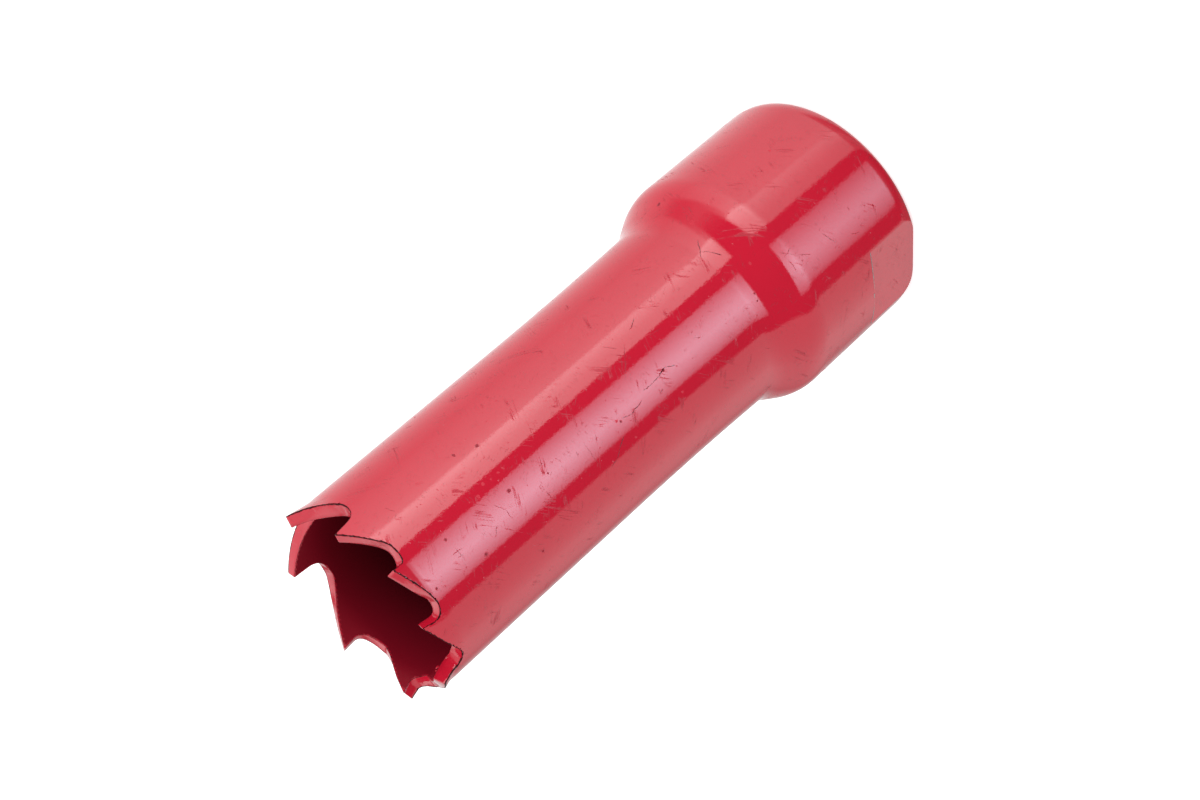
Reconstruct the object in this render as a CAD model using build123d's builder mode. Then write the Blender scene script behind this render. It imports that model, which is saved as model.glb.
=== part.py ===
import os
from math import asin, atan, degrees, radians, tan

from build123d import *

os.makedirs("parts", exist_ok=True)

# A small bimetal hole saw, standing on its head with the teeth up. All sizes are in millimetres.
# The body is a strip of spring steel with a high-speed steel edge welded on. Its teeth are milled
# and set, and then the strip is rolled up, butt-welded, and swaged wider at its back end.
# A threaded ring is pressed into that head, flush with the back face, and takes the arbor.
# The origin is the centre of the back face and +Z points from there to the teeth.

# Body
body_length = 53.0
tube_diameter = 16.0
strip_thickness = 1.1
head_diameter = 20.0
head_length = 12.0
shoulder_length = 5.2
flare_length = 14.0
flare_rise = 0.26
rim_chamfer = 0.4

# Wrench flats across the head, with a sloping end
width_across_flats = 18.5
flat_length = 5.6
flat_runout = 0.5

# Threaded cap: its ring leaves a bore of 11.5 mm, the tap size of a 1/2-20 UNF thread
cap_thickness = 9.0
cap_ring_width = 3.14
cap_clearance = 0.01
cap_edge_chamfer = 0.5
thread_depth = 0.6

# Teeth, in cutting order from the first tooth on. The pitches are taken along the strip and fill
# the whole turn. Each gullet lies ahead of its tooth, and its lead is the way from the tip to the
# deepest point. The set leans a tip outward, or inward where it is negative, from a bend just
# above the shallower gullet. The top of each tooth is high-speed steel, welded to the strip along
# a line that lies the edge height below the highest tips.
first_tooth_angle = -67.2
tooth_pitches = [4.75, 5.12, 5.86, 8.00, 7.29, 7.04, 6.86, 5.35]
gullet_depths = [1.85, 1.85, 2.25, 2.55, 2.67, 2.05, 1.30, 2.20]
gullet_leads = [1.08, 1.42, 1.47, 1.95, 1.91, 2.30, 1.83, 1.19]
tooth_sets = [-0.40, 0.42, -0.22, 0.42, 0.30, 0.30, 0.45, 0.42]
tip_drops = [0.30, 0.50, 0.15, 0.00, 0.15, 0.10, 0.00, 0.00]
tip_land = 0.12
bend_rise = 0.12
rake_angle = 3.0
rake_height_share = 0.5
back_length_share = 0.72
back_height_share = 0.78
edge_height = 1.2

# Sizes that follow from the ones above
tube_radius = tube_diameter / 2
inner_radius = tube_radius - strip_thickness
mean_radius = tube_radius - strip_thickness / 2
head_radius = head_diameter / 2
neck_radius = tube_radius + flare_rise
cap_radius = head_radius - strip_thickness - cap_clearance
thread_bore_radius = cap_radius - cap_ring_width
shoulder_end = head_length + shoulder_length
flare_end = shoulder_end + flare_length
blank_base = body_length - max(gullet_depths) - strip_thickness
tooth_count = len(tooth_pitches)
tip_levels = [body_length - drop for drop in tip_drops]
gullet_levels = [body_length - depth for depth in gullet_depths]
tip_angles = [
    first_tooth_angle + 360 * sum(tooth_pitches[:i]) / sum(tooth_pitches) for i in range(tooth_count + 1)
]
gullet_angles = [tip_angles[i] + degrees(gullet_leads[i] / tube_radius) for i in range(tooth_count)]


def radial_plane(angle):
    """Upright plane through the saw's axis: X runs outward at this angle and Y runs up."""
    outward = Vector(1, 0, 0).rotate(Axis.Z, angle)
    return Plane(origin=(0, 0, 0), x_dir=outward, z_dir=outward.cross(Vector(0, 0, 1)))


def facing_plane(angle, distance):
    """Upright plane square to the radius at this angle: X runs round the saw and Y runs up."""
    outward = Vector(1, 0, 0).rotate(Axis.Z, angle)
    return Plane(origin=outward * distance, x_dir=Vector(0, 0, 1).cross(outward), z_dir=outward)


def bend_level(tooth):
    """The height at which a tooth starts to lean, a little above the shallower of its gullets."""
    return max(gullet_levels[tooth - 1], gullet_levels[tooth]) + bend_rise


def lean_angle(tooth):
    """The angle to which the set bends a tooth outward, in degrees."""
    return degrees(asin(tooth_sets[tooth] / (tip_levels[tooth] - bend_level(tooth))))


def gullet_outline(tooth):
    """Key points of the gullet ahead of a tooth, each with its angle, its height and its lean.

    The rake face comes down from the tip, the gullet rounds into the long straight back of the
    next tooth, and the back climbs to the next tip.
    """
    following = (tooth + 1) % tooth_count
    floor = gullet_levels[tooth]
    half_land = degrees(tip_land / 2 / tube_radius)
    rake_drop = tip_levels[tooth] - floor
    hook = degrees(rake_drop * tan(radians(rake_angle)) / tube_radius)
    rake_top = tip_angles[tooth] + half_land
    back_top = tip_angles[tooth + 1] - half_land
    back_run = back_top - gullet_angles[tooth]
    back_rise = tip_levels[following] - floor
    straight_back = back_run * back_length_share
    return {
        "rake_tip": (rake_top, tip_levels[tooth], lean_angle(tooth)),
        "rake_foot": (
            rake_top - hook * rake_height_share,
            tip_levels[tooth] - rake_drop * rake_height_share,
            lean_angle(tooth) * (1 - rake_height_share),
        ),
        "rake_corner": (rake_top - hook, floor, 0),
        "floor": (gullet_angles[tooth], floor, 0),
        "back_corner": (back_top - straight_back / back_height_share, floor, 0),
        "back_foot": (
            back_top - straight_back,
            tip_levels[following] - back_rise * back_height_share,
            lean_angle(following) * (1 - back_height_share),
        ),
        "back_tip": (back_top, tip_levels[following], lean_angle(following)),
    }


def wall_side(inset):
    """One side of the shell's wall, from the back face up, at a depth below the outer side.

    The depth also lowers the shoulder a little, which keeps the wall as thick on its slope.
    """
    shoulder_slope = atan(2 * (head_radius - neck_radius) / shoulder_length)
    lowered = inset * tan(shoulder_slope / 2)
    shoulder_foot = (head_radius - inset, head_length - lowered)
    shoulder_top = (neck_radius - inset, shoulder_end - lowered)
    middle = head_length + shoulder_length / 2 - lowered
    tube_side = tube_radius - inset
    Line((head_radius - inset, 0), shoulder_foot)
    Bezier(
        shoulder_foot,
        (head_radius - inset, middle),
        (neck_radius - inset, middle),
        shoulder_top,
    )
    Bezier(shoulder_top, (tube_side, shoulder_end + flare_length / 2), (tube_side, flare_end))
    Line((tube_side, flare_end), (tube_side, blank_base))


# Gullets: radial cutters, so that every wall they leave is square to the rolled strip
gullets = []
for tooth in range(tooth_count):
    outline = gullet_outline(tooth)
    middle = (tip_angles[tooth] + tip_angles[tooth + 1]) / 2
    with BuildPart() as gullet:
        for distance in (tube_radius + 2 * strip_thickness, inner_radius - 2 * strip_thickness):
            place = {
                name: (
                    distance * tan(radians(angle - middle)),
                    height - (distance - mean_radius) * tan(radians(lean)),
                )
                for name, (angle, height, lean) in outline.items()
            }
            above = body_length + 2 * strip_thickness
            with BuildSketch(facing_plane(middle, distance)):
                with BuildLine():
                    Line(place["rake_tip"], place["rake_foot"])
                    Bezier(place["rake_foot"], place["rake_corner"], place["floor"])
                    Bezier(place["floor"], place["back_corner"], place["back_foot"])
                    Line(place["back_foot"], place["back_tip"])
                    Polyline(
                        place["back_tip"],
                        (place["back_tip"][0], above),
                        (place["rake_tip"][0], above),
                        place["rake_tip"],
                    )
                make_face()
        loft(ruled=True)
    gullets.append(gullet.part)

# Teeth: each is bent out or in by its set, then cut free by the gullets on both sides
teeth = []
for tooth in range(tooth_count):
    lean = lean_angle(tooth)
    tip = Vector(mean_radius + tooth_sets[tooth], tip_levels[tooth])
    across = Vector(strip_thickness / 2, 0).rotate(Axis.Z, -lean)
    with BuildPart() as saw_tooth:
        with BuildSketch(radial_plane(gullet_angles[tooth - 1])):
            Polygon(
                (inner_radius, blank_base),
                (tube_radius, blank_base),
                (tube_radius, bend_level(tooth)),
                tip + across,
                tip - across,
                (inner_radius, bend_level(tooth)),
                align=None,
            )
        revolve(axis=Axis.Z, revolution_arc=(gullet_angles[tooth] - gullet_angles[tooth - 1]) % 360)
        add(gullets[tooth - 1], mode=Mode.SUBTRACT)
        add(gullets[tooth], mode=Mode.SUBTRACT)
    teeth.append(saw_tooth.part)

weld_plane = Plane.XY.offset(body_length - edge_height)

# Tooth edge: the high-speed steel tips, all that is left of the welded edge between the gullets
with BuildPart() as tooth_edge:
    add(teeth)
    split(bisect_by=weld_plane, keep=Keep.TOP)

# Saw shell: the rolled strip with its head, flats and teeth
with BuildPart() as saw_shell:
    with BuildSketch(Plane.XZ) as shell_wall:
        with BuildLine():
            wall_side(0)
            wall_side(strip_thickness)
            Line((head_radius, 0), (head_radius - strip_thickness, 0))
            Line((tube_radius, blank_base), (inner_radius, blank_base))
        make_face()
        chamfer(shell_wall.vertices().group_by(Axis.Y)[0].sort_by(Axis.X)[-1], rim_chamfer)
    revolve(axis=Axis.Z)
    add(teeth)
    split(bisect_by=weld_plane, keep=Keep.BOTTOM)

    for side in (Plane.YZ, Plane.YZ.rotated((0, 0, 180))):
        with BuildSketch(side):
            flat_radius = width_across_flats / 2
            beyond = head_radius + strip_thickness
            runout_slope = flat_runout / (head_radius - flat_radius)
            Polygon(
                (flat_radius, -strip_thickness),
                (beyond, -strip_thickness),
                (beyond, flat_length + runout_slope * (beyond - flat_radius)),
                (flat_radius, flat_length),
                align=None,
            )
        extrude(amount=head_radius, both=True, mode=Mode.SUBTRACT)

# Threaded cap: the ring that carries the arbor thread
with BuildPart() as threaded_cap:
    with BuildSketch():
        Circle(cap_radius)
        Circle(thread_bore_radius, mode=Mode.SUBTRACT)
    extrude(amount=cap_thickness)
    thread_edges = threaded_cap.edges().filter_by(GeomType.CIRCLE).sort_by(SortBy.RADIUS)[:2]
    chamfer(thread_edges, thread_depth)
    inner_rim = threaded_cap.edges().group_by(Axis.Z)[-1].sort_by(SortBy.RADIUS)[-1]
    chamfer(inner_rim, cap_edge_chamfer)

saw_shell.part.label = "saw_shell"
tooth_edge.part.label = "tooth_edge"
threaded_cap.part.label = "threaded_cap"
export_step(saw_shell.part, "parts/saw_shell.step")
export_step(tooth_edge.part, "parts/tooth_edge.step")
export_step(threaded_cap.part, "parts/threaded_cap.step")
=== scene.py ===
import math

import bmesh
import bpy
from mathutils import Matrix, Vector, noise


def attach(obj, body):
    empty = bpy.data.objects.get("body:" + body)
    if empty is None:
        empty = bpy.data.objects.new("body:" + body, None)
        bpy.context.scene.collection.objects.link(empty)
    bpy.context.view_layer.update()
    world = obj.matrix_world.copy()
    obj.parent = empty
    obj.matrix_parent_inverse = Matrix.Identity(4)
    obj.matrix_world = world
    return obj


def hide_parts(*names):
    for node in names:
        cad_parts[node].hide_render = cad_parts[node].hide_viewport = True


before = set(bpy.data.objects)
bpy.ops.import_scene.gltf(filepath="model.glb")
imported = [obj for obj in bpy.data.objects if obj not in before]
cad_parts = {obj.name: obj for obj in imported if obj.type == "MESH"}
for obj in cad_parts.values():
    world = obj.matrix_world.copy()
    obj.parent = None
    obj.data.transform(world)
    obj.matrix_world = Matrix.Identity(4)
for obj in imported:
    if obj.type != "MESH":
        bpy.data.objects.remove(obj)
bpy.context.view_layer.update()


# Camera. A short telephoto lens looks down on the toothed end from the side and is rolled, so that
# the saw seems to lie across the picture with its teeth at the lower left.
photo_lens_mm = 66.854
camera_place_mm = (119.27, -86.655, 108.793)
camera_turn_deg = (-50.0416, 41.1626, -97.0863)

camera = bpy.data.objects.new("camera", bpy.data.cameras.new("camera"))
camera.data.lens = photo_lens_mm
camera.data.sensor_width = 36.0
camera.data.clip_start = 0.01
camera.location = [c * 0.001 for c in camera_place_mm]
camera.rotation_euler = [math.radians(a) for a in camera_turn_deg]
bpy.context.collection.objects.link(camera)
bpy.context.scene.camera = camera
bpy.context.scene.view_settings.view_transform = "Standard"


# Red enamel. Gloss stoving enamel, sprayed on after the saw was made and baked, over all of it.
# It gives a deep red with clear mirror bands. Orange peel, grain, dust nibs, pits, hairlines and
# cracks break the mirror up, and the marks are darker, in the pits as painted shade. Inside only a
# mist of it lies on black steel, painted darker deeper into the bore as painted shade, and where it
# runs over a sharp edge it is thin, dark and chipped through to the steel. Patterns are in mm.
enamel_red = "C61832"
enamel_thick = "BC162E"
enamel_thin = "360E12"
inside_dark = "16050A"
mark_dark_and_pit_shade = "4E101C"
bare_steel = "9A9290"

# Marks on the unrolled wall, in mm: the two ends of each scratch and crack with its half width, and
# the middle and radius of each pit and dust nib. The first number of a place runs along the strip.
scratches = [
    ((-5.71, 43.58), (-6.51, 42.98), 0.023), ((-6.51, 42.98), (-7.35, 42.96), 0.019),
    ((-7.52, 44.86), (-6.94, 44.30), 0.033), ((-6.42, 48.27), (-6.54, 47.39), 0.026),
    ((-6.85, 48.04), (-6.89, 47.54), 0.026), ((-6.58, 34.99), (-8.94, 34.85), 0.019),
    ((-7.19, 35.96), (-6.77, 35.92), 0.026), ((-7.49, 39.60), (-8.27, 39.50), 0.023),
    ((-2.34, 28.48), (-3.12, 27.80), 0.026), ((-4.63, 28.86), (-3.61, 27.94), 0.023),
    ((-5.24, 29.14), (-3.14, 27.04), 0.023), ((-4.22, 33.64), (-3.88, 32.98), 0.023),
    ((-7.76, 27.51), (-7.54, 27.03), 0.033), ((-6.31, 22.29), (-6.53, 21.93), 0.023),
    ((-6.46, 5.52), (-6.22, 5.44), 0.033), ((-7.66, 6.56), (-7.90, 5.80), 0.026),
    ((-5.53, 13.04), (-6.27, 11.98), 0.019), ((-5.95, 12.90), (-5.77, 11.88), 0.019),
    ((-6.33, 12.04), (-6.89, 10.74), 0.019), ((-6.25, 12.76), (-7.13, 12.71), 0.019),
    ((-0.80, 49.30), (-1.56, 49.08), 0.023), ((-6.19, 47.79), (-7.29, 47.71), 0.019),
    ((-4.01, 25.02), (-4.07, 24.00), 0.019),
]
cracks = [
    ((-8.25, 31.90), (-8.81, 32.68), 0.032), ((-8.81, 32.68), (-9.28, 33.27), 0.032),
    ((-9.28, 33.27), (-9.50, 34.02), 0.025), ((-7.16, 31.30), (-7.42, 30.42), 0.025),
    ((-7.41, 30.41), (-7.19, 29.05), 0.032), ((-6.72, 28.53), (-6.72, 27.46), 0.025),
    ((-6.72, 27.46), (-6.64, 26.76), 0.032), ((-6.64, 26.76), (-6.40, 25.83), 0.045),
    ((-6.81, 25.05), (-6.51, 25.79), 0.032), ((-2.26, 24.91), (-2.70, 25.89), 0.032),
    ((-0.90, 16.06), (-2.16, 17.12), 0.034), ((-1.79, 16.66), (-2.36, 16.22), 0.032),
    ((-2.37, 16.22), (-3.07, 15.94), 0.032), ((-6.34, 8.88), (-7.40, 8.28), 0.020),
]
pits = [
    ((-1.78, 41.18), 0.19), ((-1.15, 42.90), 0.18), ((-5.67, 41.94), 0.20), ((-5.35, 47.94), 0.14),
    ((-8.00, 46.17), 0.20), ((-6.63, 38.67), 0.08), ((-7.46, 50.64), 0.12), ((-7.28, 31.49), 0.14),
    ((-6.49, 26.12), 0.14), ((-6.67, 16.00), 0.10), ((-7.21, 16.12), 0.11), ((3.82, 14.47), 0.19),
]
nibs = [
    ((-4.24, 41.13), 0.13), ((-4.24, 41.60), 0.12), ((-4.26, 42.36), 0.11), ((-4.16, 43.08), 0.17),
    ((-4.57, 43.99), 0.16), ((-4.51, 44.77), 0.08), ((-8.78, 25.71), 0.14), ((-8.99, 31.05), 0.12),
    ((-10.66, 25.81), 0.09), ((0.25, 15.15), 0.22), ((-3.77, 17.05), 0.20), ((-4.85, 14.97), 0.15),
    ((-0.18, 6.25), 0.14), ((-7.06, 31.75), 0.15),
]


def paint_colour(hex_code):
    """An sRGB hex value as a linear colour."""
    channels = [int(hex_code[i:i + 2], 16) / 255 for i in (0, 2, 4)]
    return [c / 12.92 if c <= 0.04045 else ((c + 0.055) / 1.055) ** 2.4 for c in channels] + [1.0]


def add_node(tree, kind, inputs=None, **settings):
    """A new node with its settings, whose inputs are values or other nodes' outputs."""
    node = tree.nodes.new(kind)
    for name, value in settings.items():
        setattr(node, name, value)
    for name, value in (inputs or {}).items():
        if isinstance(value, bpy.types.NodeSocket):
            tree.links.new(value, node.inputs[name])
        else:
            node.inputs[name].default_value = value
    return node


def within_marks(tree, place, marks):
    """1 at the core of the nearest of some long or round marks on the strip, 0 outside them."""
    nearest = 10.0
    for *ends, half_width in marks:
        away = [
            add_node(tree, "ShaderNodeVectorMath", {
                0: place, 1: (*end, 0)}, operation="DISTANCE").outputs["Value"] for end in ends]
        length = math.dist(*ends) if len(ends) == 2 else 0.0
        rim = math.hypot(length, 2 * half_width) - length if length else half_width
        around = away[0] if not length else add_node(
            tree, "ShaderNodeMath", {0: away[0], 1: away[1]}, operation="ADD").outputs[0]
        share = add_node(tree, "ShaderNodeMath", {
            0: around, 1: 1 / rim, 2: -length / rim}, operation="MULTIPLY_ADD").outputs[0]
        nearest = add_node(
            tree, "ShaderNodeMath", {0: nearest, 1: share}, operation="MINIMUM").outputs[0]
    return add_node(tree, "ShaderNodeMapRange", {
        "Value": nearest, "From Min": 1.0, "From Max": 0.5}).outputs[0]


def sprayed(name):
    """A new material, places on it in mm, and the colour of its coat of enamel."""
    material = bpy.data.materials.new(name)
    material.use_nodes = True
    tree = material.node_tree
    spot = add_node(tree, "ShaderNodeTexCoord")
    place = add_node(tree, "ShaderNodeVectorMath", {
        0: spot.outputs["Object"], "Scale": 1000.0}, operation="SCALE").outputs[0]

    # The coat is a little thicker and deeper in patches of about 6 mm
    coat = add_node(tree, "ShaderNodeTexNoise", {"Vector": place, "Scale": 0.16, "Detail": 3.0})
    coat_colour = add_node(tree, "ShaderNodeMix", {
        "Factor": coat.outputs["Fac"], "A": paint_colour(enamel_red),
        "B": paint_colour(enamel_thick)}, data_type="RGBA").outputs["Result"]
    return material, place, coat_colour


def orange_peel(tree, place, relief, swells):
    """The bump of the coat: a relief in mm with swells on it, as (swells per mm, rise) pairs."""
    for scale, rise in swells:
        swell = add_node(tree, "ShaderNodeTexNoise", {
            "Vector": place, "Scale": scale, "Detail": 2.0})
        relief = add_node(tree, "ShaderNodeMath", {
            0: swell.outputs["Fac"], 1: rise, 2: relief}, operation="MULTIPLY_ADD").outputs[0]
    bump = add_node(tree, "ShaderNodeBump", {"Height": relief, "Distance": 0.001, "Strength": 1.0})
    return bump.outputs[0]


red_enamel, place, coat_colour = sprayed("red_stoving_enamel")
tree = red_enamel.node_tree
shader = tree.nodes["Principled BSDF"]
on_strip = add_node(tree, "ShaderNodeUVMap", uv_map="unrolled_mm").outputs[0]

# The inside: a mist of enamel over black steel that fades out some 8 mm below the teeth. The colour
# darkens deeper into the bore, which is also painted shade.
is_inside = add_node(tree, "ShaderNodeAttribute", attribute_name="inside").outputs["Fac"]
level = add_node(tree, "ShaderNodeSeparateXYZ", {0: place}).outputs["Z"]
fade = add_node(tree, "ShaderNodeMapRange", {
    "Value": level, "From Min": 52.5, "From Max": 44.0, "To Min": 0.6, "To Max": 0.955})
mist_and_shade = add_node(tree, "ShaderNodeMath", {0: is_inside, 1: fade.outputs[0]}, operation="MULTIPLY")
wall_colour = add_node(tree, "ShaderNodeMix", {
    "Factor": mist_and_shade.outputs[0], "A": coat_colour, "B": paint_colour(inside_dark)},
    data_type="RGBA")

# Thin, chipped enamel along worn edges
worn = add_node(tree, "ShaderNodeAttribute", attribute_name="edge_wear").outputs["Fac"]
chip_noise = add_node(tree, "ShaderNodeTexNoise", {"Vector": place, "Scale": 4.0, "Detail": 4.0})
wear_here = add_node(tree, "ShaderNodeMath", {
    0: worn, 1: chip_noise.outputs["Fac"]}, operation="ADD").outputs[0]
thin = add_node(tree, "ShaderNodeMapRange", {
    "Value": wear_here, "From Min": 1.05, "From Max": 1.35},
    interpolation_type="SMOOTHSTEP").outputs[0]
chip = add_node(tree, "ShaderNodeMapRange", {
    "Value": wear_here, "From Min": 1.66, "From Max": 1.69}).outputs[0]
edge_colour = add_node(tree, "ShaderNodeMix", {
    "Factor": thin, "A": wall_colour.outputs["Result"], "B": paint_colour(enamel_thin)},
    data_type="RGBA")
chipped_colour = add_node(tree, "ShaderNodeMix", {
    "Factor": chip, "A": edge_colour.outputs["Result"], "B": paint_colour(bare_steel)},
    data_type="RGBA")

# Fine dust under the enamel, some four grains in every 10 square mm
dust = add_node(tree, "ShaderNodeTexVoronoi", {
    "Vector": on_strip, "Scale": 1.3}, voronoi_dimensions="2D")
dust_size = add_node(tree, "ShaderNodeSeparateColor", {0: dust.outputs["Color"]})
grain_radius = add_node(tree, "ShaderNodeMapRange", {
    "Value": dust_size.outputs[0], "From Min": 0.62, "From Max": 1.0,
    "To Min": -0.05, "To Max": 0.09})
grain_depth = add_node(tree, "ShaderNodeMath", {
    0: grain_radius.outputs[0], 1: dust.outputs["Distance"]}, operation="SUBTRACT")
dust_grain = add_node(tree, "ShaderNodeMapRange", {
    "Value": grain_depth.outputs[0], "From Min": 0.0, "From Max": 0.04, "To Max": 0.010})

# Orange peel in swells of about 1.2 mm, and a finer grain
bump = orange_peel(tree, place, dust_grain.outputs[0], ((0.8, 0.005), (6.0, 0.0028)))

# Marks of handling break the mirror. They are on the outside only and a little wavy.
sway = add_node(tree, "ShaderNodeTexNoise", {"Vector": on_strip, "Scale": 2.8, "Detail": 3.0})
swayed = add_node(tree, "ShaderNodeVectorMath", {
    0: sway.outputs["Color"], 1: (0.24, 0.24, 0.0), 2: on_strip}, operation="MULTIPLY_ADD")
marked = add_node(tree, "ShaderNodeVectorMath", {
    0: swayed.outputs[0], 1: (0.12, 0.12, 0.0)}, operation="SUBTRACT").outputs[0]
scratch = within_marks(tree, marked, scratches)
crack = within_marks(tree, marked, cracks)
pit = within_marks(tree, marked, pits)
nib = within_marks(tree, marked, nibs)

# Hairlines in two directions, in patches
hairlines = 0.0
for angle_deg, patch in ((28, 11.0), (-47, 23.0)):
    along = add_node(tree, "ShaderNodeMapping", {
        "Vector": on_strip, "Location": (patch, 0, 0),
        "Rotation": (0, 0, math.radians(angle_deg))}).outputs[0]
    drawn = add_node(tree, "ShaderNodeVectorMath", {
        0: along, 1: (0.13, 2.1, 1)}, operation="MULTIPLY")
    thread = add_node(tree, "ShaderNodeTexNoise", {
        "Vector": drawn.outputs[0], "Scale": 1.0, "Detail": 1.0})
    beside = add_node(tree, "ShaderNodeMath", {
        0: thread.outputs["Fac"], 1: 0.5}, operation="SUBTRACT")
    off_line = add_node(tree, "ShaderNodeMath", {0: beside.outputs[0]}, operation="ABSOLUTE")
    on_line = add_node(tree, "ShaderNodeMapRange", {
        "Value": off_line.outputs[0], "From Min": 0.03, "From Max": 0.0})
    patches = add_node(tree, "ShaderNodeTexNoise", {
        "Vector": along, "Scale": 0.55, "Detail": 2.0})
    in_patch = add_node(tree, "ShaderNodeMapRange", {
        "Value": patches.outputs["Fac"], "From Min": 0.57, "From Max": 0.66})
    hairlines = add_node(tree, "ShaderNodeMath", {
        0: on_line.outputs[0], 1: in_patch.outputs[0], 2: hairlines},
        operation="MULTIPLY_ADD").outputs[0]

# Ticks: short shallow cuts in two directions, in patches
ticks = 0.0
for angle_deg, patch in ((-12, 5.0), (64, 17.0)):
    along = add_node(tree, "ShaderNodeMapping", {
        "Vector": on_strip, "Location": (patch, 0, 0),
        "Rotation": (0, 0, math.radians(angle_deg))}).outputs[0]
    drawn = add_node(tree, "ShaderNodeVectorMath", {
        0: along, 1: (0.5, 5.0, 1)}, operation="MULTIPLY")
    cuts = add_node(tree, "ShaderNodeTexVoronoi", {
        "Vector": drawn.outputs[0], "Scale": 1.5}, voronoi_dimensions="2D")
    chance = add_node(tree, "ShaderNodeSeparateColor", {0: cuts.outputs["Color"]})
    present = add_node(tree, "ShaderNodeMath", {
        0: chance.outputs[0], 1: 0.5}, operation="GREATER_THAN")
    in_cut = add_node(tree, "ShaderNodeMapRange", {
        "Value": cuts.outputs["Distance"], "From Min": 0.16, "From Max": 0.08,
        "To Max": present.outputs[0]})
    patches = add_node(tree, "ShaderNodeTexNoise", {
        "Vector": along, "Scale": 0.4, "Detail": 2.0})
    in_patch = add_node(tree, "ShaderNodeMapRange", {
        "Value": patches.outputs["Fac"], "From Min": 0.50, "From Max": 0.60})
    ticks = add_node(tree, "ShaderNodeMath", {
        0: in_cut.outputs[0], 1: in_patch.outputs[0], 2: ticks},
        operation="MULTIPLY_ADD").outputs[0]

# How rough the surface is: mirror-like, dull where it is marked or worn
rough = add_node(tree, "ShaderNodeMath", {
    0: thin, 1: 0.30, 2: 0.05}, operation="MULTIPLY_ADD").outputs[0]
rough = add_node(tree, "ShaderNodeMath", {
    0: is_inside, 1: 0.35, 2: rough}, operation="MULTIPLY_ADD").outputs[0]
dulled = 0.0
for layer, share in (
        (scratch, 0.6), (crack, 0.6), (pit, 0.6), (nib, 0.5), (hairlines, 0.5), (ticks, 0.35)):
    dulled = add_node(tree, "ShaderNodeMath", {
        0: layer, 1: share, 2: dulled}, operation="MULTIPLY_ADD").outputs[0]
is_outside = add_node(tree, "ShaderNodeMath", {
    0: 1.0, 1: is_inside}, operation="SUBTRACT").outputs[0]
rough = add_node(tree, "ShaderNodeMath", {
    0: dulled, 1: is_outside, 2: rough}, operation="MULTIPLY_ADD", use_clamp=True).outputs[0]

# The marks are painted darker: in the pits this is painted shade, while the scratches, cracks,
# hairlines and ticks only get a darker colour
mark_darkening_and_shade = 0.0
for layer, share in ((scratch, 0.5), (crack, 0.9), (pit, 0.6), (hairlines, 0.3), (ticks, 0.4)):
    mark_darkening_and_shade = add_node(tree, "ShaderNodeMath", {
        0: layer, 1: share, 2: mark_darkening_and_shade}, operation="MULTIPLY_ADD").outputs[0]
darkened_marks_and_shade = add_node(tree, "ShaderNodeMath", {
    0: mark_darkening_and_shade, 1: is_outside}, operation="MULTIPLY", use_clamp=True)
colour = add_node(tree, "ShaderNodeMix", {
    "Factor": darkened_marks_and_shade.outputs[0], "A": chipped_colour.outputs["Result"],
    "B": paint_colour(mark_dark_and_pit_shade)}, data_type="RGBA")

tree.links.new(colour.outputs["Result"], shader.inputs["Base Color"])
tree.links.new(chip, shader.inputs["Metallic"])
tree.links.new(rough, shader.inputs["Roughness"])
tree.links.new(bump, shader.inputs["Normal"])
matt = add_node(tree, "ShaderNodeMath", {0: thin, 1: is_inside}, operation="MAXIMUM")
gloss = add_node(tree, "ShaderNodeMapRange", {
    "Value": matt.outputs[0], "To Min": 0.5, "To Max": 0.06})
tree.links.new(gloss.outputs[0], shader.inputs["Specular IOR Level"])
shader.inputs["IOR"].default_value = 1.5


# Body. One strip of spring steel whose toothed edge was milled and set while it was flat, then
# rolled up, butt-welded and swaged out to a wider head, on which two wrench flats were cut.
# It is made here in the same order: cut flat, given its wall, bevelled, set and rolled up.
body_length = 53.0
tube_radius = 8.0
wall = 1.1
columns = 288
tube_rows = [37.0, 43.0, 47.0]
sharp_from_deg = 35

# The head, with the rim that swaging left round, and the line where the flats end and are worn
head_radius = 10.0
head_length = 12.0
shoulder_length = 5.2
shoulder_slope_deg = 29.0
flare_length = 14.0
flare_rise = 0.26
rim_depth = 0.6
rim_height = 1.5
bore_edge_radius = 0.12
flat_distance = 9.25
flat_length = 5.6
flat_runout = 0.5
flat_zone = 7.0
worn_line = 0.11

# The teeth in cutting order, with pitches along the strip and the gullet ahead of each tooth
first_tooth_deg = -67.2
tooth_pitches = [4.75, 5.12, 5.86, 8.00, 7.29, 7.04, 6.86, 5.35]
gullet_depths = [1.85, 1.85, 2.25, 2.55, 2.67, 2.05, 1.30, 2.20]
gullet_leads = [1.08, 1.42, 1.47, 1.95, 1.91, 2.30, 1.83, 1.19]
tip_drops = [0.30, 0.50, 0.15, 0.00, 0.15, 0.10, 0.00, 0.00]
tip_land = 0.12
rake_slope = math.tan(math.radians(3.0))
rake_height_share = 0.5
back_length_share = 0.72
back_height_share = 0.78
tooth_zone = 49.0

# The set, outward or inward, in a bend that starts below the gullets and fades out sideways
tooth_sets = [-0.40, 0.42, -0.22, 0.42, 0.30, 0.30, 0.45, 0.42]
tip_thinning = 0.2
bend_drop = 0.45
bend_run = 1.0
bend_spread = 1.1

# The rounded edges and their wear: the enamel is thin from about 0.8 and chipped from about 1.2
edge_bevel = 0.05
edge_band = 0.07
flank_rows = (0.3, 0.55, 0.8)
band_wear = 0.7
outer_edge_wear = 1.03
outer_rim_wear = 0.9
inner_edge_wear = 0.75
inner_rim_wear = 0.2
bright_tooth = 6
bright_tooth_wear = 0.95
ledge_wear = 4.0

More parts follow.
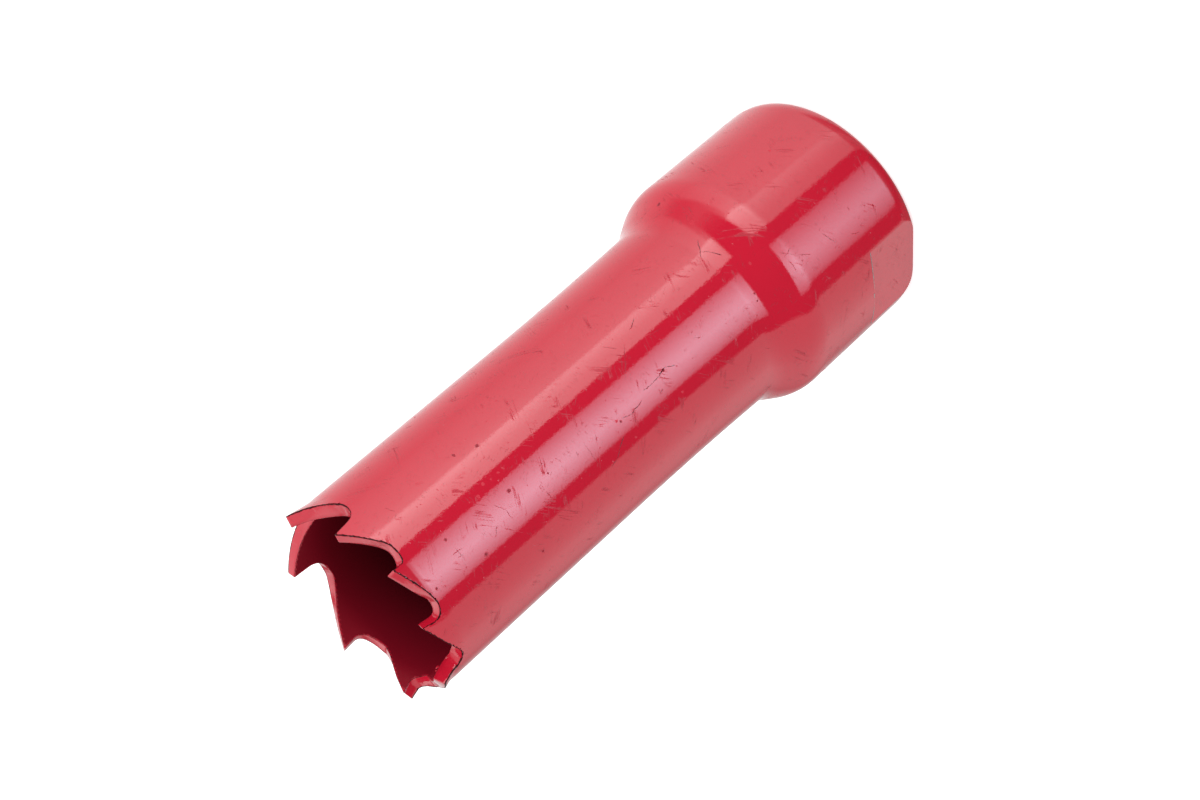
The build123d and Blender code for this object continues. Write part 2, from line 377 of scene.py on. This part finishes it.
# The weld between the two metals, and the butt weld with its bead inside, which was left rough at
# one tooth and has two drops and a speck of enamel beside it: angle, height and radius
edge_weld_level = 51.8
weld_bead_height = 0.1
weld_bead_width = 0.45
weld_bead_top = 50.3
weld_rough_height = 0.05
weld_rough_grain = 2.6
weld_rough_place = (36.15, 51.7)
weld_rough_reach = (0.85, 1.4)
weld_rough_seed = 1
enamel_drops = [(-137.1, 50.79, 0.20), (-138.0, 50.11, 0.13), (-133.0, 51.25, 0.11)]
drop_flattening = 0.45

teeth = len(tooth_pitches)
turn = 2 * math.pi * tube_radius
run_scale = turn / sum(tooth_pitches)
first_tip = math.radians(first_tooth_deg) * tube_radius
tips = [first_tip + run_scale * sum(tooth_pitches[:i]) for i in range(teeth + 1)]
floors = [tips[i] + gullet_leads[i] for i in range(teeth)]
tip_heights = [body_length - drop for drop in tip_drops]
floor_heights = [body_length - depth for depth in gullet_depths]
strip_start = floors[-1] - turn


def bent(start, corner, end, steps):
    """Points of the curve from start to end that heads for a corner, without the start itself."""
    shares = [(i + 1) / steps for i in range(steps)]
    return [start * (1 - t) ** 2 + corner * 2 * t * (1 - t) + end * t ** 2 for t in shares]


def gullet_line(tooth):
    """The milled edge from a tip down its rake, round the gullet and up to the next tip."""
    following = (tooth + 1) % teeth
    floor = floor_heights[tooth]
    drop = tip_heights[tooth] - floor
    rise = tip_heights[following] - floor
    rake_top = Vector((tips[tooth] + tip_land / 2, tip_heights[tooth]))
    rake_foot = rake_top - Vector((drop * rake_slope, drop)) * rake_height_share
    rake_corner = rake_top - Vector((drop * rake_slope, drop))
    lowest = Vector((floors[tooth], floor))
    back_top = Vector((tips[tooth + 1] - tip_land / 2, tip_heights[following]))
    back_run = (back_top.x - lowest.x) * back_length_share
    back_foot = back_top - Vector((back_run, rise * back_height_share))
    back_corner = Vector((back_top.x - back_run / back_height_share, floor))
    line = [rake_top] + [rake_top.lerp(rake_foot, i / 4) for i in range(1, 5)]
    line += bent(rake_foot, rake_corner, lowest, 10) + bent(lowest, back_corner, back_foot, 10)
    line += [back_foot.lerp(back_top, i / 10) for i in range(1, 11)]
    return line


def wall_radius(level):
    """Radius of the outer side below the teeth: head, shoulder and flare up to the tube."""
    shoulder_end = head_length + shoulder_length
    if level > shoulder_end:
        return tube_radius + flare_rise * max(0.0, 1 - (level - shoulder_end) / flare_length) ** 2
    slope = math.radians(shoulder_slope_deg)
    neck = tube_radius + flare_rise
    drop = head_radius - neck
    fillet = (shoulder_length * math.tan(slope) - drop) / (2 / math.cos(slope) - 2)
    reach = fillet * math.sin(slope)
    along = max(level - head_length, 0.0)
    if along < reach:
        return head_radius - fillet + math.sqrt(fillet * fillet - along * along)
    if shoulder_length - along < reach:
        return neck + fillet - math.sqrt(fillet * fillet - (shoulder_length - along) ** 2)
    return head_radius - fillet * (1 - math.cos(slope)) - (along - reach) * math.tan(slope)


def roll_up(point, inner):
    """A point of the flat strip, with its depth in the wall, as a point of the finished tube.

    The set bends a tooth in a curve that starts a little below its gullets and fades out sideways
    towards them.
    """
    run, depth, height = point
    tooth = next((i for i in range(teeth) if run <= floors[i]), 0)
    bend = max(floor_heights[tooth - 1], floor_heights[tooth]) - bend_drop
    tall = tip_heights[tooth] - bend
    last_floor = floors[tooth - 1] if tooth > 0 else strip_start
    share = min(max(min(run - last_floor, floors[tooth] - run) / bend_spread, 0.0), 1.0)
    share = share * share * (3 - 2 * share)
    slope = tooth_sets[tooth] / (tall - bend_run / 2) * share
    above = height - bend
    middle = tube_radius - wall / 2
    across = wall / 2 - depth
    if above > 0:
        lean = slope * min(above / bend_run, 1.0)
        out = slope * (above * above / (2 * bend_run) if above < bend_run else above - bend_run / 2)
        across *= 1 - tip_thinning * share * min(above / tall, 1.0)
        radius = middle + out + across
        height -= across * lean
    else:
        radius = middle + across
    level = height + depth * (head_radius - tube_radius - flare_rise) / shoulder_length
    if level < head_length + shoulder_length + flare_length:
        radius = wall_radius(level) - depth
    if height < rim_height and not inner:
        radius -= rim_depth * (1 - math.sqrt(1 - (1 - height / rim_height) ** 2))
    if height < bore_edge_radius and inner:
        radius += bore_edge_radius * (1 - math.sqrt(1 - (1 - height / bore_edge_radius) ** 2))
    if inner and head_length < height < weld_bead_top:
        from_seam = (run - strip_start + turn / 2) % turn - turn / 2
        uneven = (0.7 + 0.6 * noise.noise((0, 0, height * 0.8))) * min(1.0, weld_bead_top - height)
        radius -= weld_bead_height * uneven * max(0.0, 1 - (from_seam / weld_bead_width) ** 2)
    angle = run / tube_radius
    return Vector((radius * math.cos(angle), radius * math.sin(angle), height))


def touching(faces):
    """Faces with their edges and points, each once and in a fixed order, to be cut."""
    return list(dict.fromkeys(part for face in faces for part in (face, *face.edges, *face.verts)))


# The blank is a little longer than the turn and is cut to length. A narrow band follows its milled
# edge, so that the edge can be rounded evenly.
strip = bmesh.new()
milled_edge = []
for tooth in range(-1, teeth):
    milled_edge += [p - Vector((turn if tooth < 0 else 0, 0)) for p in gullet_line(tooth % teeth)]
corners = [Vector((milled_edge[-1].x, -1)), Vector((milled_edge[0].x, -1))]
strip.faces.new([strip.verts.new((p.x, 0, p.y)) for p in milled_edge + corners])
in_band = strip.faces.layers.int.new("in_band")
inset = bmesh.ops.inset_region(
    strip, faces=strip.faces[:], thickness=edge_band, use_boundary=True, use_even_offset=True)
for face in inset["faces"]:
    face[in_band] = 1
for point, outward in (
        ((strip_start, 0, 0), (-1, 0, 0)),
        ((strip_start + turn, 0, 0), (1, 0, 0)),
        ((0, 0, 0), (0, 0, -1))):
    bmesh.ops.bisect_plane(
        strip, geom=touching(strip.faces), dist=1e-4, plane_co=point, plane_no=outward,
        clear_outer=True)


def at_ends():
    """The points at the two ends of the strip, where it is welded together."""
    return [v for v in strip.verts if not strip_start + 1e-3 < v.co.x < strip_start + turn - 1e-3]


bmesh.ops.remove_doubles(strip, verts=at_ends(), dist=0.002)
close = bmesh.ops.find_doubles(strip, verts=strip.verts[:], keep_verts=at_ends(), dist=0.02)
bmesh.ops.weld_verts(strip, targetmap=close["targetmap"])

# Columns and rows for the rolled shape, up to the band
rows = [rim_height * (1 - math.cos(math.radians(a))) for a in range(10, 91, 8)]
rows += [3.0, flat_length, flat_length + flat_runout, flat_length + 2 * flat_runout, 9.0]
rows += [head_length - 0.6 + 0.2 * i for i in range(31)]
rows += [head_length + shoulder_length + 1.0 + i for i in range(15)]
rows += tube_rows
rows += [tooth_zone + 0.2 + 0.18 * i for i in range(20)]
cuts = [((strip_start + turn * i / columns, 0, 0), (1, 0, 0)) for i in range(1, columns)]
cuts += [((0, 0, row), (0, 0, 1)) for row in rows]
for point, normal in cuts:
    bmesh.ops.bisect_plane(
        strip, geom=touching(f for f in strip.faces if not f[in_band]), dist=1e-3,
        plane_co=point, plane_no=normal)
end_verts = set(at_ends())
bmesh.ops.remove_doubles(
    strip, verts=[v for v in strip.verts if v not in end_verts], dist=0.004)

# The wall, without faces at the two ends that are welded together
grown = bmesh.ops.extrude_face_region(strip, geom=strip.faces[:])
inner_verts = [v for v in grown["geom"] if isinstance(v, bmesh.types.BMVert)]
bmesh.ops.translate(strip, verts=inner_verts, vec=(0, wall, 0))
end_faces = [
    f for f in strip.faces
    if all(v.co.x < strip_start + 1e-3 for v in f.verts)
    or all(v.co.x > strip_start + turn - 1e-3 for v in f.verts)]
bmesh.ops.delete(strip, geom=end_faces, context="FACES")
bmesh.ops.recalc_face_normals(strip, faces=strip.faces[:])

# Rows across the milled flanks, which stay flat or are roughened by the butt weld
for depth in flank_rows:
    bmesh.ops.bisect_plane(
        strip, geom=touching(strip.faces), dist=1e-5, plane_co=(0, depth, 0), plane_no=(0, 1, 0))

# The edges of the milled outline, rounded by the enamel
wear = strip.verts.layers.float.new("edge_wear")
inside = strip.verts.layers.float.new("inside")
sharp = [
    e for e in strip.edges
    if len(e.link_faces) == 2 and min(v.co.z for v in e.verts) > tooth_zone
    and (abs(e.link_faces[0].normal.y) > 0.5) != (abs(e.link_faces[1].normal.y) > 0.5)]
rounded = bmesh.ops.bevel(
    strip, geom=sharp, offset=edge_bevel, offset_type="OFFSET", affect="EDGES", segments=3,
    profile=0.5, material=-1, clamp_overlap=False, loop_slide=True)
bevel_faces = set(rounded["faces"])
for v in strip.verts:
    v[inside] = float(v.co.y > wall - 1e-4)
    if abs(v.co.y) < 1e-4 and any(f[in_band] for f in v.link_faces):
        v[wear] = band_wear
for v in rounded["verts"]:
    within = all(f in bevel_faces for f in v.link_faces)
    if v.co.y < wall / 2:
        v[wear] = outer_edge_wear if within else outer_rim_wear
    else:
        bright = floors[bright_tooth - 1] < v.co.x < floors[bright_tooth]
        v[wear] = (bright_tooth_wear if bright else inner_edge_wear) if within else inner_rim_wear
        v[inside] = 0.2

unrolled = strip.loops.layers.uv.new("unrolled_mm")
for face in strip.faces:
    for loop in face.loops:
        loop[unrolled].uv = (loop.vert.co.x, loop.vert.co.z + loop.vert.co.y)

# The strip is rolled up and its ends are joined. The noise that roughens the weld takes its start
# from the clock unless it has a seed, which keeps the shape the same each run.
noise.seed_set(weld_rough_seed)
seam = at_ends()
for v in strip.verts:
    inner = v.co.y > wall - 1e-4
    from_weld = (v.co.x - weld_rough_place[0] + turn / 2) % turn - turn / 2
    above_weld = v.co.z - weld_rough_place[1]
    away = (from_weld / weld_rough_reach[0]) ** 2 + (above_weld / weld_rough_reach[1]) ** 2
    v.co = roll_up(v.co, inner)
    v.co += noise.noise_vector(v.co * weld_rough_grain) * weld_rough_height * max(0.0, 1 - away)
bmesh.ops.remove_doubles(strip, verts=seam, dist=0.002)
bmesh.ops.recalc_face_normals(strip, faces=strip.faces[:])

# The drops of enamel that ran down inside beside the weld
for around_deg, height, size in enamel_drops:
    drop = bmesh.ops.create_icosphere(strip, subdivisions=3, radius=size)
    around = math.radians(around_deg)
    outward = Vector((math.cos(around), math.sin(around), 0))
    for v in drop["verts"]:
        out = v.co.dot(outward)
        v.co += outward * (tube_radius - wall - out * drop_flattening)
        v.co.z += height

# The wrench flats: edges first where they end, then the metal between is pressed back to them
runout_slope = flat_runout / (head_radius - flat_distance)
for side in (1, -1):
    for level, normal in (
            (0, (0, side, 0)),
            (flat_length + worn_line, (0, side, -1 / runout_slope)),
            (flat_length, (0, side, -1 / runout_slope))):
        near = [
            f for f in strip.faces
            if all(v.co.z < flat_zone and v.co.y * side > flat_zone for v in f.verts)]
        bmesh.ops.bisect_plane(
            strip, geom=touching(near), dist=1e-4, plane_co=(0, side * flat_distance, level),
            plane_no=normal)
for v in strip.verts:
    if v.co.z < flat_zone and abs(v.co.y) > flat_distance:
        limit = flat_distance + max(0.0, v.co.z - flat_length) / runout_slope
        on_ledge = v.co.z > flat_length and abs(abs(v.co.y) - limit) < 2e-3
        if on_ledge and math.hypot(v.co.x, v.co.y) > head_radius - 2e-3:
            v[wear] = ledge_wear
        v.co.y = math.copysign(min(abs(v.co.y), limit), v.co.y)


def finished_piece(name, source, material, replaced):
    """A mesh object in metres from a bmesh in millimetres, on the saw's one body."""
    bmesh.ops.scale(source, vec=(0.001, 0.001, 0.001), verts=source.verts[:])
    for face in source.faces:
        face.smooth = True
    sharp_from = math.radians(sharp_from_deg)
    for edge in source.edges:
        edge.smooth = len(edge.link_faces) == 2 and edge.calc_face_angle(0.0) < sharp_from
    mesh = bpy.data.meshes.new(name)
    source.to_mesh(mesh)
    source.free()
    piece = bpy.data.objects.new(name, mesh)
    bpy.context.collection.objects.link(piece)
    mesh.materials.append(material)
    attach(piece, "root")
    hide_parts(replaced)


# The high-speed steel tips are the metal above the weld line, the body is the metal below it
tip_metal = strip.copy()
for metal, above in ((strip, False), (tip_metal, True)):
    high = [f for f in metal.faces if max(v.co.z for v in f.verts) > tooth_zone]
    bmesh.ops.bisect_plane(
        metal, geom=touching(high), dist=1e-4, plane_co=(0, 0, edge_weld_level),
        plane_no=(0, 0, 1))
    gone = [f for f in metal.faces if (f.calc_center_median().z < edge_weld_level) == above]
    bmesh.ops.delete(metal, geom=gone, context="FACES")
    open_edges = [e for e in metal.edges if len(e.link_faces) == 1]
    filled = bmesh.ops.holes_fill(metal, edges=open_edges, sides=0)
    for face in filled["faces"]:
        if face.loops[0].link_loop_radial_next.vert == face.loops[0].vert:
            face.normal_flip()
    bmesh.ops.triangulate(metal, faces=filled["faces"], ngon_method="EAR_CLIP")

finished_piece("body_strip", strip, red_enamel, "saw_shell")


# Tooth edge. What is left of the high-speed steel wire that was welded along the strip before the
# teeth were milled: one tip on each tooth, under the same enamel as the body.
finished_piece("tooth_tips", tip_metal, red_enamel, "tooth_edge")


# Threaded cap. A turned steel ring, pressed into the head and welded flush with its back face. Its
# bore has the right-hand 1/2-20 UNF thread of the arbor. The back face was painted with the body,
# the thread got a mist of enamel in its roots, and its crests are bright from the arbor.
thread_steel = "A8A29A"
thread_root = "3A1216"
cap_height = 9.0
cap_radius = 8.89
cap_inner_chamfer = 0.5
cap_edge_radius = 0.12
thread_pitch = 1.27
thread_bore = 5.75
thread_depth = 0.6
crest_flat = 0.25
root_flat = 0.125
cap_steps = 120
thread_rows = 120

cap_enamel, place, coat_colour = sprayed("enamelled_turned_steel")
tree = cap_enamel.node_tree
shader = tree.nodes["Principled BSDF"]
flat_place = add_node(tree, "ShaderNodeVectorMath", {0: place, 1: (1, 1, 0)}, operation="MULTIPLY")
from_axis = add_node(tree, "ShaderNodeVectorMath", {
    0: flat_place.outputs[0]}, operation="LENGTH").outputs["Value"]
speckle = add_node(tree, "ShaderNodeTexNoise", {"Vector": place, "Scale": 2.5, "Detail": 4.0})
reach = add_node(tree, "ShaderNodeMath", {
    0: speckle.outputs["Fac"], 1: 0.3, 2: from_axis}, operation="MULTIPLY_ADD").outputs[0]
in_thread = add_node(tree, "ShaderNodeMapRange", {
    "Value": reach, "From Min": 6.75, "From Max": 6.55}).outputs[0]
on_crest = add_node(tree, "ShaderNodeMapRange", {
    "Value": reach, "From Min": 6.10, "From Max": 5.98}).outputs[0]
thread_colour = add_node(tree, "ShaderNodeMix", {
    "Factor": on_crest, "A": paint_colour(thread_root), "B": paint_colour(thread_steel)},
    data_type="RGBA")
colour = add_node(tree, "ShaderNodeMix", {
    "Factor": in_thread, "A": coat_colour, "B": thread_colour.outputs["Result"]},
    data_type="RGBA")
dulled = add_node(tree, "ShaderNodeMapRange", {
    "Value": in_thread, "To Min": 0.07, "To Max": 0.38})
bump = orange_peel(tree, place, 0.0, ((0.8, 0.004), (6.0, 0.002)))
tree.links.new(colour.outputs["Result"], shader.inputs["Base Color"])
tree.links.new(on_crest, shader.inputs["Metallic"])
tree.links.new(dulled.outputs[0], shader.inputs["Roughness"])
tree.links.new(bump, shader.inputs["Normal"])

cap = bmesh.new()
cap_profile = [
    (cap_radius - cap_edge_radius, 0), (cap_radius, cap_edge_radius),
    (cap_radius, cap_height - cap_inner_chamfer), (cap_radius - cap_inner_chamfer, cap_height),
    (thread_bore, cap_height), (thread_bore, 0)]
cap_verts = [cap.verts.new((r, 0, z)) for r, z in cap_profile]
cap_edges = [cap.edges.new(pair) for pair in zip(cap_verts, cap_verts[1:] + cap_verts[:1])]
bmesh.ops.subdivide_edges(cap, edges=[cap_edges[4]], cuts=thread_rows)
bmesh.ops.spin(
    cap, geom=cap.verts[:] + cap.edges[:], cent=(0, 0, 0), axis=(0, 0, 1), angle=2 * math.pi,
    steps=cap_steps, use_merge=True, use_duplicate=False)
bmesh.ops.remove_doubles(cap, verts=cap.verts[:], dist=0.0005)

# The thread: flat crests of a quarter of its pitch, flat roots of an eighth, and sloping entries
for v in cap.verts:
    radius = math.hypot(v.co.x, v.co.y)
    if radius < thread_bore + 0.01:
        turns = v.co.z / thread_pitch - math.atan2(v.co.y, v.co.x) / (2 * math.pi)
        from_root = abs(turns % 1 - 0.5) * 2
        flank = (1 - crest_flat - from_root) / (1 - crest_flat - root_flat)
        entry = thread_depth - min(v.co.z, cap_height - v.co.z)
        cut_radius = thread_bore + max(thread_depth * min(max(flank, 0.0), 1.0), entry, 0.0)
        v.co.x *= cut_radius / radius
        v.co.y *= cut_radius / radius
bmesh.ops.recalc_face_normals(cap, faces=cap.faces[:])
finished_piece("threaded_ring", cap, cap_enamel, "threaded_cap")


# Floor. A wide white sheet. The camera sees it as white paper with the saw's soft shadow, and the
# gloss enamel doesn't mirror it, so that the walls show the studio's soft boxes.
floor_size = 6.0
floor_white = 0.85
paper_glow = 0.55
floor_mesh = bmesh.new()
bmesh.ops.create_grid(floor_mesh, x_segments=1, y_segments=1, size=floor_size / 2)
floor_data = bpy.data.meshes.new("floor")
floor_mesh.to_mesh(floor_data)
floor_mesh.free()
floor = bpy.data.objects.new("floor", floor_data)
bpy.context.collection.objects.link(floor)
floor.visible_glossy = False
paper = bpy.data.materials.new("white_paper")
paper.use_nodes = True
tree = paper.node_tree
tree.nodes.clear()
matt = add_node(tree, "ShaderNodeBsdfDiffuse", {"Color": (floor_white,) * 3 + (1,)})
glow = add_node(tree, "ShaderNodeEmission", {"Strength": paper_glow})
path = add_node(tree, "ShaderNodeLightPath")
nothing = add_node(tree, "ShaderNodeBsdfTransparent", {"Color": (0, 0, 0, 1)})
seen_glow = add_node(tree, "ShaderNodeMixShader", {
    0: path.outputs["Is Camera Ray"], 1: nothing.outputs[0], 2: glow.outputs[0]})
whole = add_node(tree, "ShaderNodeAddShader", {0: matt.outputs[0], 1: seen_glow.outputs[0]})
add_node(tree, "ShaderNodeOutputMaterial", {"Surface": whole.outputs[0]})
floor_data.materials.append(paper)


# Studio. Plain even light from all sides. In reflections there are two tall soft boxes, the left
# one cooler, with white walls at the sides and behind and dark gaps between them, so that the
# gloss enamel shows crisp bands.
box_tint = (0.84, 1.0, 1.19, 1)
even_level = 0.97
dark_level = 0.12
key_size = 0.5
key_power = 2.4
key_place = Vector((0.62, 0.25, 0.5))
key_aim = Vector((0, 0, 0.03))

# What the enamel mirrors: for each panel its brightness round the horizon, and the share of that
# from low to high, both as stops of (degrees, level). The near end of the right wall fades
# towards the table, and the wall behind is seen only above it.
cool_box = (
    [(-84, 0), (-82, 2.2), (-74, 4.6), (-62, 7.4), (-54, 6.6), (-34, 2.4), (-33, 0)],
    [(-60, 0), (-48, 0.05), (-43, 0.5), (-37, 0.55), (-26, 1.0), (-14, 0.8), (0, 0.7), (4, 0)])
long_box = (
    [(-18, 0), (-17, 3.4), (-6, 3.9), (9, 5.9), (12, 2.0), (24, 1.2), (60, 0)],
    [(-60, 0.1), (-48, 0.15), (-43, 0.4), (-37, 0.42), (-26, 1.0), (8, 1.0), (14, 0.8), (18, 0)])
right_wall_near = (
    [(9, 0), (13, 1.2), (40, 1.15), (58, 0)],
    [(-60, 0.1), (-45, 0.25), (-41, 1), (2, 0.9), (9, 0.1)])
right_wall_far = (
    [(40, 0), (58, 1.1), (75, 1.0), (140, 1.0), (160, 0.5), (180, 0.3)],
    [(-90, 1), (2, 0.9), (9, 0.1)])
left_wall = (
    [(-180, 0.3), (-165, 0.7), (-147, 1.15), (-101, 1.12), (-99, 0)],
    [(-60, 0.1), (-45, 0.25), (-41, 1), (90, 1)])
wall_behind = ([(75, 0), (90, 1.1), (180, 1.1)], [(14, 0), (22, 1), (60, 1), (75, 0)])
ceiling = ([(-180, 1.2), (180, 1.2)], [(50, 0), (65, 1)])

world = bpy.data.worlds.new("studio")
bpy.context.scene.world = world
world.use_nodes = True
tree = world.node_tree
tree.nodes.clear()
view = add_node(tree, "ShaderNodeTexCoord")
split = add_node(tree, "ShaderNodeSeparateXYZ", {0: view.outputs["Generated"]})
azimuth = add_node(tree, "ShaderNodeMath", {
    0: split.outputs["Y"], 1: split.outputs["X"]}, operation="ARCTAN2")
elevation = add_node(tree, "ShaderNodeMath", {0: split.outputs["Z"]}, operation="ARCSINE")


def ramp(value, start, end, stops):
    """A brightness that follows a value in degrees, through stops of (degrees, brightness)."""
    share = add_node(tree, "ShaderNodeMapRange", {
        "Value": value, "From Min": math.radians(start), "From Max": math.radians(end)})
    curve = add_node(tree, "ShaderNodeValToRGB", {"Fac": share.outputs[0]})
    elements = curve.color_ramp.elements
    while len(elements) > 1:
        elements.remove(elements[-1])
    highest = max(level for _, level in stops)
    for i, (degrees, level) in enumerate(stops):
        position = (degrees - start) / (end - start)
        if i == 0:
            elements[0].position = position
        else:
            elements.new(position)
        elements[i].color = (level / highest,) * 3 + (1,)
    return add_node(tree, "ShaderNodeMath", {
        0: curve.outputs["Color"], 1: highest}, operation="MULTIPLY").outputs[0]


def panel(around, upward):
    """A light panel: its brightness round the horizon times its brightness from low to high."""
    return add_node(tree, "ShaderNodeMath", {
        0: ramp(azimuth.outputs[0], -180, 180, around),
        1: ramp(elevation.outputs[0], -90, 90, upward)}, operation="MULTIPLY").outputs[0]


mirrored = dark_level
cool_level = panel(*cool_box)
for around, upward in (
        long_box, right_wall_near, right_wall_far, left_wall, wall_behind, ceiling):
    mirrored = add_node(tree, "ShaderNodeMath", {
        0: mirrored, 1: panel(around, upward)}, operation="ADD").outputs[0]
neutral_light = add_node(tree, "ShaderNodeBackground", {
    "Color": (1, 1, 1, 1), "Strength": mirrored})
cool_light = add_node(tree, "ShaderNodeBackground", {"Color": box_tint, "Strength": cool_level})
mirrored_light = add_node(tree, "ShaderNodeAddShader", {
    0: neutral_light.outputs[0], 1: cool_light.outputs[0]})
even_light = add_node(tree, "ShaderNodeBackground", {
    "Color": (1, 1, 1, 1), "Strength": even_level})
white_seen = add_node(tree, "ShaderNodeBackground", {"Color": (1, 1, 1, 1), "Strength": 1.0})
path = add_node(tree, "ShaderNodeLightPath")
lit = add_node(tree, "ShaderNodeMixShader", {
    0: path.outputs["Is Glossy Ray"], 1: even_light.outputs[0], 2: mirrored_light.outputs[0]})
seen = add_node(tree, "ShaderNodeMixShader", {
    0: path.outputs["Is Camera Ray"], 1: lit.outputs[0], 2: white_seen.outputs[0]})
add_node(tree, "ShaderNodeOutputWorld", {"Surface": seen.outputs[0]})

key_light = bpy.data.objects.new("key_soft_box", bpy.data.lights.new("key_soft_box", "AREA"))
key_light.data.shape = "SQUARE"
key_light.data.size = key_size
key_light.data.energy = key_power
key_light.location = key_place
key_light.rotation_euler = (key_aim - key_place).to_track_quat("-Z", "Y").to_euler()
key_light.visible_glossy = False
bpy.context.collection.objects.link(key_light)
